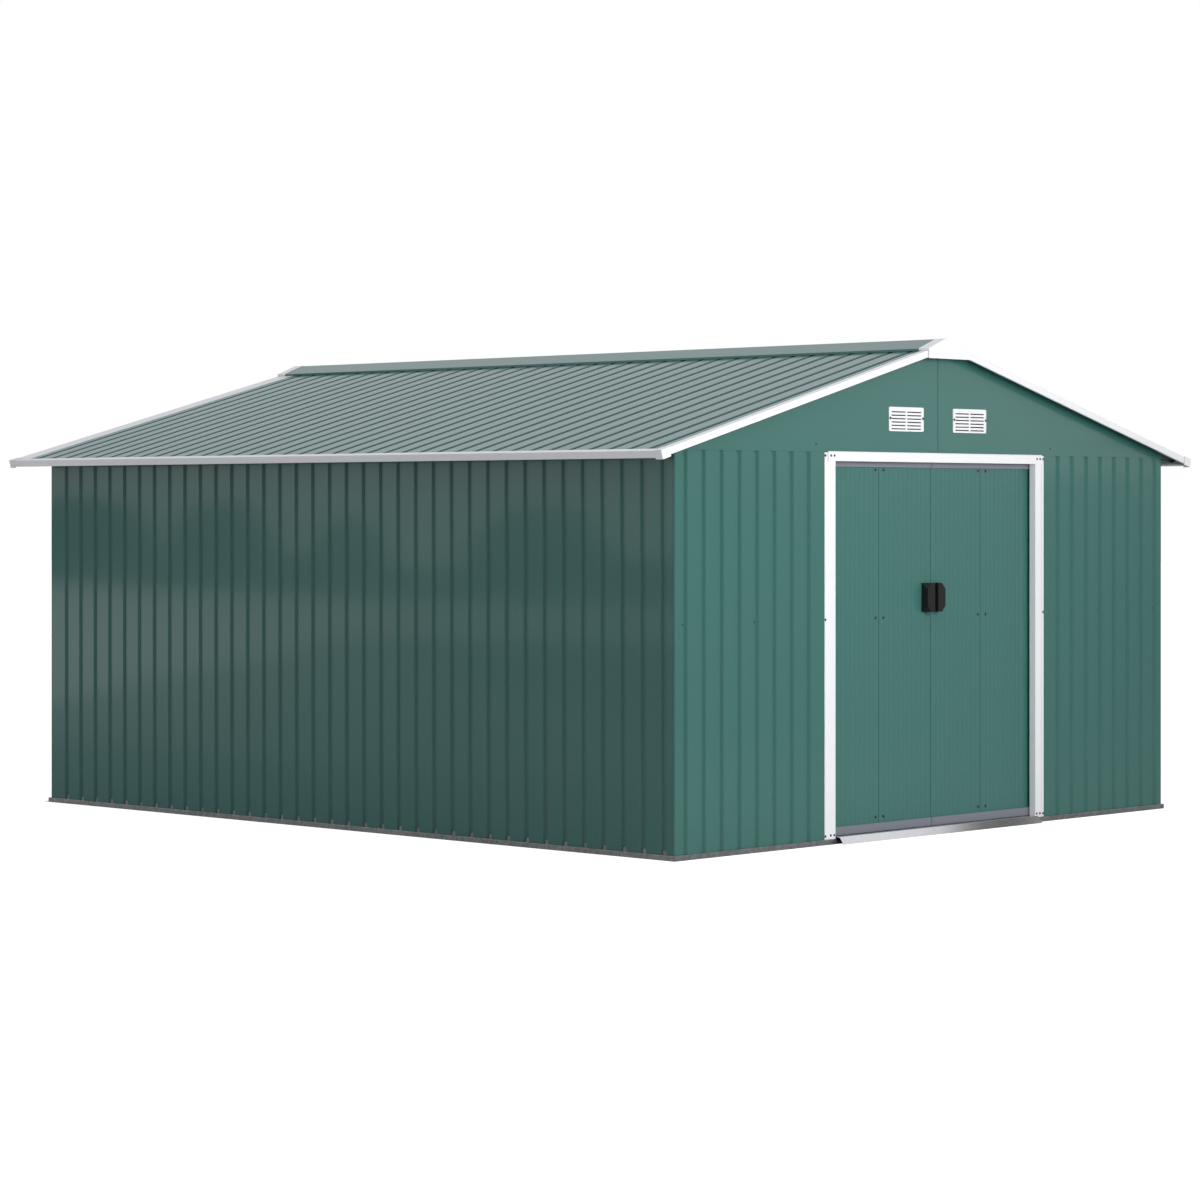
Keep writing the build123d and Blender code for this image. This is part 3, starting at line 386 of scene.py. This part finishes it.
def screwMesh(bm, place, outward, size):
    # Self-drilling screw seen from outside: washer, hexagon head and a rounded top
    stand = Matrix.Translation(place) @ outward.to_track_quat("Z", "Y").to_matrix().to_4x4()
    washer = [ringOfPoints(bm, stand, size["washer"], height, screwSides["washer"])
              for height in (0.0, size["washerThickness"])]
    wallBetween(bm, washer[0], washer[1])
    bm.faces.new(washer[1])
    head = [ringOfPoints(bm, stand, size["head"], size["washerThickness"], screwSides["head"])]
    for radiusShare, heightShare in headRings:
        head.append(ringOfPoints(bm, stand, size["head"] * radiusShare, size["headHeight"] * heightShare,
                                 screwSides["head"]))
    for lower, upper in zip(head, head[1:]):
        wallBetween(bm, lower, upper)
    bm.faces.new(head[-1])


def screwRow(name, places, outward, size, material, body):
    bm = bmesh.new()
    for place in places:
        screwMesh(bm, Vector(place), Vector(outward), size)
    mesh = bpy.data.meshes.new(name)
    bm.to_mesh(mesh)
    bm.free()
    screws = bpy.data.objects.new(name, mesh)
    scene.collection.objects.link(screws)
    mesh.materials.append(material)
    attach(screws, body)


# Screw heads of the frame and vents, of the walls and gables, and of the leaves: radius of the washer and
# of the hexagon, the washer's thickness and the height that headRings takes shares of
screwSize = {"washer": 0.0050, "head": 0.0030, "washerThickness": 0.0008, "headHeight": 0.0026}
wallScrewSize = {"washer": 0.0038, "head": 0.0024, "washerThickness": 0.0006, "headHeight": 0.0022}
doorScrewSize = {"washer": 0.0060, "head": 0.0036, "washerThickness": 0.0010, "headHeight": 0.0036}
screwLevel = {
    "top": 1.518,
    "middle": 0.878,
    "bottom": 0.034,
    "jambFoot": 0.036,
    "doorTop": 1.465,
    "doorMiddle": 0.876,
    "doorBottom": 0.084,
    "gable": (1.563, 1.767),
    "vent": 1.672,
}
# Distances from the shed's middle plane
screwPlace = {
    "frameFlange": 0.7075,
    "frameFace": (0.680, 0.659),
    "left_door": (0.301, 0.350),
    "right_door": (0.316, 0.367),
    "wall": (1.5208, 1.1152),
    "gable": 0.762,
    "vent": (0.102, 0.310),
}
flangeStandoff = 0.0015
flangeFace = frontFace - flangeStandoff
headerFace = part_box("door_header")[0].y
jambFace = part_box("door_jamb_left")[0].y

frameScrews = []
for side in (-1, 1):
    for level in ("top", "middle", "bottom"):
        frameScrews.append((side * screwPlace["frameFlange"], flangeFace, screwLevel[level]))
    for across in screwPlace["frameFace"]:
        frameScrews.append((side * across, headerFace, screwLevel["top"]))
        frameScrews.append((side * across, jambFace, screwLevel["jambFoot"]))
screwRow("door_frame_screws", frameScrews, (0, -1, 0), screwSize, screwSteel, "shed")

for side, body in ((-1, "left_door"), (1, "right_door")):
    leafScrews = [(side * across, doorFace, screwLevel[level]) for across in screwPlace[body]
                  for level in ("doorTop", "doorMiddle", "doorBottom")]
    screwRow(body + "_screws", leafScrews, (0, -1, 0), doorScrewSize, screwSteel, body)

# the wall screws sit on groove floors, the gable screws on the flat sheet
frontScrews = [(side * across, frontFace + greens["ribDepth"], screwLevel["middle"])
               for side in (-1, 1) for across in screwPlace["wall"]]
frontScrews += [(side * screwPlace["gable"], frontFace, level)
                for side in (-1, 1) for level in screwLevel["gable"]]
screwRow("front_wall_screws", frontScrews, (0, -1, 0), wallScrewSize, screwSteel, "shed")
backScrews = [(side * screwPlace["gable"], backFace, level)
              for side in (-1, 1) for level in screwLevel["gable"]]
screwRow("back_gable_screws", backScrews, (0, 1, 0), wallScrewSize, screwSteel, "shed")
ventFaces = {"vents_front": (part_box("vents_front")[0].y, -1), "vents_back": (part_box("vents_back")[1].y, 1)}
for name, (face, outward) in ventFaces.items():
    ventScrews = [(side * across, face, screwLevel["vent"])
                  for side in (-1, 1) for across in screwPlace["vent"]]
    screwRow(name + "_screws", ventScrews, (0, outward, 0), screwSize, screwSteel, "shed")
print("screws placed")

# A folded channel inside each gable that closes its middle seam
seamChannel = {"halfWidth": 0.016, "depth": 0.008, "sheet": 0.0008, "foot": 0.002, "head": 0.006}
for name, face, inward in (("front", frontFace, 1), ("back", backFace, -1)):
    gableLow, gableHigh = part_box(name + "_gable")
    foot = gableLow.z + seamChannel["foot"]
    head = min(gableHigh.z - seamChannel["head"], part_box("ridge_beam")[0].z - seamChannel["foot"])
    half, deep, skin = seamChannel["halfWidth"], seamChannel["depth"], seamChannel["sheet"]
    section = [(-half, 0), (skin - half, 0), (skin - half, deep - skin), (half - skin, deep - skin),
               (half - skin, 0), (half, 0), (half, deep), (-half, deep)]
    bm = bmesh.new()
    rings = [[bm.verts.new((across, face + inward * (skin + into), level)) for across, into in section]
             for level in (foot, head)]
    wallBetween(bm, rings[0], rings[1])
    for ring in rings:
        for legOrWeb in ((0, 1, 2, 7), (7, 2, 3, 6), (6, 3, 4, 5)):
            bm.faces.new([ring[i] for i in legOrWeb])
    bmesh.ops.recalc_face_normals(bm, faces=bm.faces)
    channelMesh = bpy.data.meshes.new(name + "_seam_channel")
    bm.to_mesh(channelMesh)
    bm.free()
    channel = bpy.data.objects.new(name + "_seam_channel", channelMesh)
    scene.collection.objects.link(channel)
    channelMesh.materials.append(galvanized)
    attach(channel, "shed")
print("gable seams closed")

# The camera of the photograph
view = {"place": (-11.051, -10.601, 1.313), "turn": 46.27, "lens": 103.77, "rise": -0.0766}
camera = bpy.data.objects.new("camera", bpy.data.cameras.new("camera"))
scene.collection.objects.link(camera)
camera.location = view["place"]
camera.rotation_euler = (math.radians(90), 0, math.radians(-view["turn"]))
camera.data.sensor_width = 36
camera.data.lens = view["lens"]
camera.data.shift_y = view["rise"]
scene.camera = camera

# Soft studio light: a sky brighter overhead, two soft boxes and glow in the sky that only gloss picks up
studio = {
    "sky": 0.36,
    "skyColor": (0.97, 0.99, 1.04, 1),
    "skyToCamera": 1.0,
    "overhead": 0.45,
    "overheadFrom": 0.2,
}
softBoxes = {
    "frontSoftBox": {"place": (-1.3, -6.4, 2.3), "aim": (-0.6, -1.9, 1.2), "width": 2.4, "height": 2.0,
                     "power": 147},
    "sideSoftBox": {"place": (-7.5, 0.5, 1.9), "aim": (-1.7, 0.3, 1.1), "width": 3.0, "height": 2.2,
                    "power": 6},
}
glows = [
    {"toward": (0.64, 0.69, 0.34), "spread": 0.80, "strength": 0.29},
    {"toward": (0.72, -0.25, 0.65), "spread": 0.75, "strength": 0.33},
]
world = bpy.data.worlds.new("studio")
scene.world = world
world.use_nodes = True
sky = world.node_tree
sky.nodes.clear()
rays = addNode(sky, "ShaderNodeLightPath").outputs
lookAt = addNode(sky, "ShaderNodeTexCoord").outputs["Generated"]
glow = 0.0
for lobe in glows:
    toward = Vector(lobe["toward"]).normalized()
    closeness = addNode(sky, "ShaderNodeVectorMath", {0: lookAt, 1: tuple(toward)},
                        operation="DOT_PRODUCT").outputs["Value"]
    glow = mathNode(sky, "MULTIPLY_ADD", remap(sky, closeness, lobe["spread"], 1.0), lobe["strength"], glow)
height = addNode(sky, "ShaderNodeSeparateXYZ", {"Vector": lookAt}).outputs["Z"]
overhead = mathNode(sky, "MULTIPLY_ADD", remap(sky, height, studio["overheadFrom"], 1.0), studio["overhead"],
                    studio["sky"])
glossySky = mathNode(sky, "MULTIPLY_ADD", rays["Is Glossy Ray"], glow, overhead)
brightness = mathNode(sky, "MULTIPLY_ADD", rays["Is Camera Ray"],
                      mathNode(sky, "SUBTRACT", studio["skyToCamera"], glossySky), glossySky)
skyColor = mixColor(sky, rays["Is Camera Ray"], studio["skyColor"], (1, 1, 1, 1))
background = addNode(sky, "ShaderNodeBackground", {"Color": skyColor, "Strength": brightness})
addNode(sky, "ShaderNodeOutputWorld", {"Surface": background.outputs[0]})

for name, softBox in softBoxes.items():
    boxLight = bpy.data.lights.new(name, "AREA")
    boxLight.shape = "RECTANGLE"
    boxLight.size = softBox["width"]
    boxLight.size_y = softBox["height"]
    boxLight.energy = softBox["power"]
    boxLamp = bpy.data.objects.new(name, boxLight)
    scene.collection.objects.link(boxLamp)
    boxLamp.location = softBox["place"]
    backward = Vector(softBox["place"]) - Vector(softBox["aim"])
    boxLamp.rotation_euler = backward.to_track_quat("Z", "Y").to_euler()
    boxLamp.visible_camera = False
    boxLamp.visible_glossy = False

# Cards round the shed that only gloss picks up. The sill mirrors the dim sill card, and the front the front
# sky. The left wall mirrors the bright sky, band and lawn and the dark trees just behind them. Each card has
# its outline, the glow at its two ends and the axis that the glow changes along.
sideCardPlace = -4
treesPlace = -4.03

# Edges of the reflection on the left wall, read in a part of the photograph shown at twice its size
enlarged = {"left": 30, "top": 455, "scale": 2, "frame": 1200}
treelineSeen = (
    (120, 85), (200, 100), (240, 140), (265, 229), (290, 140), (330, 100), (430, 90), (470, 130),
    (500, 200), (560, 200), (590, 140), (640, 120), (690, 140), (720, 230), (860, 230), (900, 150),
    (960, 110), (1060, 95), (1110, 110), (1150, 180), (1200, 210))
bandTopSeen = ((800, 290), (400, 275))
bandFootSeen = ((250, 450), (450, 410), (650, 365), (900, 370))


def onSideCard(points):
    # how far along and up the camera's sight lines reach the side cards, once the left wall mirrors them
    turn = math.radians(view["turn"])
    zoom = view["lens"] / camera.data.sensor_width
    ahead = Vector((math.sin(turn), math.cos(turn), 0))
    rightward = Vector((math.cos(turn), -math.sin(turn), 0))
    reached = []
    for seenAcross, seenDown in points:
        across = (enlarged["left"] + seenAcross / enlarged["scale"]) / enlarged["frame"] - 0.5
        up = 0.5 - (enlarged["top"] + seenDown / enlarged["scale"]) / enlarged["frame"] + view["rise"]
        sight = ahead + rightward * (across / zoom) + Vector((0, 0, up / zoom))
        toWall = (-sideFace - view["place"][0]) / sight.x
        wallToCard = (-sideFace - sideCardPlace) / sight.x
        end = Vector(view["place"]) + sight * (toWall + wallToCard)
        reached.append((end.y, end.z))
    return reached


# Beyond the edges seen, the outlines run on past the ends of the wall
bandFoot = onSideCard(bandFootSeen)
skyOutline = [(5.5, 3.2), (5.5, 1.36), *onSideCard(treelineSeen), (0.0, 1.09), (-0.4, 3.2)]
bandOutline = [(5.5, 0.91), (5.5, 0.13), *bandFoot, (-0.3, 0.70), (-0.3, 0.86), *onSideCard(bandTopSeen)]
lawnOutline = [(5.5, 0.13), (5.5, -0.6), (-0.3, -0.6), (-0.3, 0.25), (1.60, 0.45), (2.4, 0.64),
               bandFoot[1], bandFoot[0]]
treesOutline = [(-0.4, 0.7), (5.5, 0.7), (5.5, 1.5), (-0.4, 1.5)]


def sideCard(place, outline):
    return [(place, along, up) for along, up in outline]


cards = {
    "sillCard": {"outline": [(2.36, -3.2, 1.63), (3.16, -3.2, 1.63), (3.16, -2.0, 1.63), (2.36, -2.0, 1.63)],
                 "glow": (0.05, 0.11), "axis": "X", "ends": (2.3, 3.2)},
    "sideSky": {"outline": sideCard(sideCardPlace, skyOutline),
                "glow": (1.0, 1.15), "axis": "Y", "ends": (0.0, 5.5)},
    "sideBand": {"outline": sideCard(sideCardPlace, bandOutline),
                 "glow": (0.75, 1.45), "axis": "Y", "ends": (0.0, 5.0)},
    "sideLawn": {"outline": sideCard(sideCardPlace, lawnOutline),
                 "glow": (0.45, 0.65), "axis": "Y", "ends": (0.0, 5.0)},
    "sideTrees": {"outline": sideCard(treesPlace, treesOutline),
                  "glow": (0.22, 0.0), "axis": "Y", "ends": (0.0, 5.0)},
    "frontSky": {"outline": [(0.5, -5, 1.5), (8.0, -5, 1.5), (8.0, -5, 3.4), (0.5, -5, 3.4)],
                 "glow": (0.6, 1.1), "axis": "X", "ends": (2.0, 5.5)},
}
for name, card in cards.items():
    cardMesh = bpy.data.meshes.new(name)
    cardMesh.from_pydata(card["outline"], [], [tuple(range(len(card["outline"])))])
    cardObject = bpy.data.objects.new(name, cardMesh)
    scene.collection.objects.link(cardObject)
    for rayKind in ("camera", "diffuse", "transmission", "shadow"):
        setattr(cardObject, "visible_" + rayKind, False)
    cardMaterial = bpy.data.materials.new(name)
    cardMaterial.use_nodes = True
    tree = cardMaterial.node_tree
    tree.nodes.clear()
    place = addNode(tree, "ShaderNodeNewGeometry").outputs["Position"]
    axes = addNode(tree, "ShaderNodeSeparateXYZ", {"Vector": place}).outputs
    glow = remap(tree, axes[card["axis"]], *card["ends"], *card["glow"])
    shine = addNode(tree, "ShaderNodeEmission", {"Strength": glow})
    addNode(tree, "ShaderNodeOutputMaterial", {"Surface": shine.outputs[0]})
    cardMesh.materials.append(cardMaterial)

# A pale floor just under the shed
pale = {"half": 60, "drop": 0.0005, "color": (0.55, 0.55, 0.55, 1), "roughness": 0.9, "lift": 0.85}
corners = [(x * pale["half"], y * pale["half"], 0) for x, y in ((-1, -1), (1, -1), (1, 1), (-1, 1))]
floorMesh = bpy.data.meshes.new("floor")
floorMesh.from_pydata(corners, [], [(0, 1, 2, 3)])
floor = bpy.data.objects.new("floor", floorMesh)
scene.collection.objects.link(floor)
floor.location.z = -pale["drop"]
floorMaterial = bpy.data.materials.new("paleFloor")
floorMaterial.use_nodes = True
paint = floorMaterial.node_tree
paint.nodes.clear()
floorSeen = addNode(paint, "ShaderNodeLightPath").outputs["Is Camera Ray"]
# the lift stays outside the walls, so the floor inside the shed keeps its real shade
floorPlace = addNode(paint, "ShaderNodeNewGeometry").outputs["Position"]
mirrored = addNode(paint, "ShaderNodeVectorMath", {0: floorPlace}, operation="ABSOLUTE").outputs[0]
floorAxes = addNode(paint, "ShaderNodeSeparateXYZ", {"Vector": mirrored}).outputs
outside = mathNode(paint, "MAXIMUM", mathNode(paint, "GREATER_THAN", floorAxes["X"], sideFace),
                   mathNode(paint, "GREATER_THAN", floorAxes["Y"], -frontFace))
lift = mathNode(paint, "MULTIPLY", mathNode(paint, "MULTIPLY", floorSeen, outside), pale["lift"])
floorShader = addNode(paint, "ShaderNodeBsdfPrincipled", {
    "Base Color": pale["color"], "Roughness": pale["roughness"], "Specular IOR Level": 0.0,
    "Emission Color": (1, 1, 1, 1), "Emission Strength": lift})
addNode(paint, "ShaderNodeOutputMaterial", {"Surface": floorShader.outputs[0]})
floorMesh.materials.append(floorMaterial)
scene.view_settings.view_transform = "Standard"
print("studio and camera set")
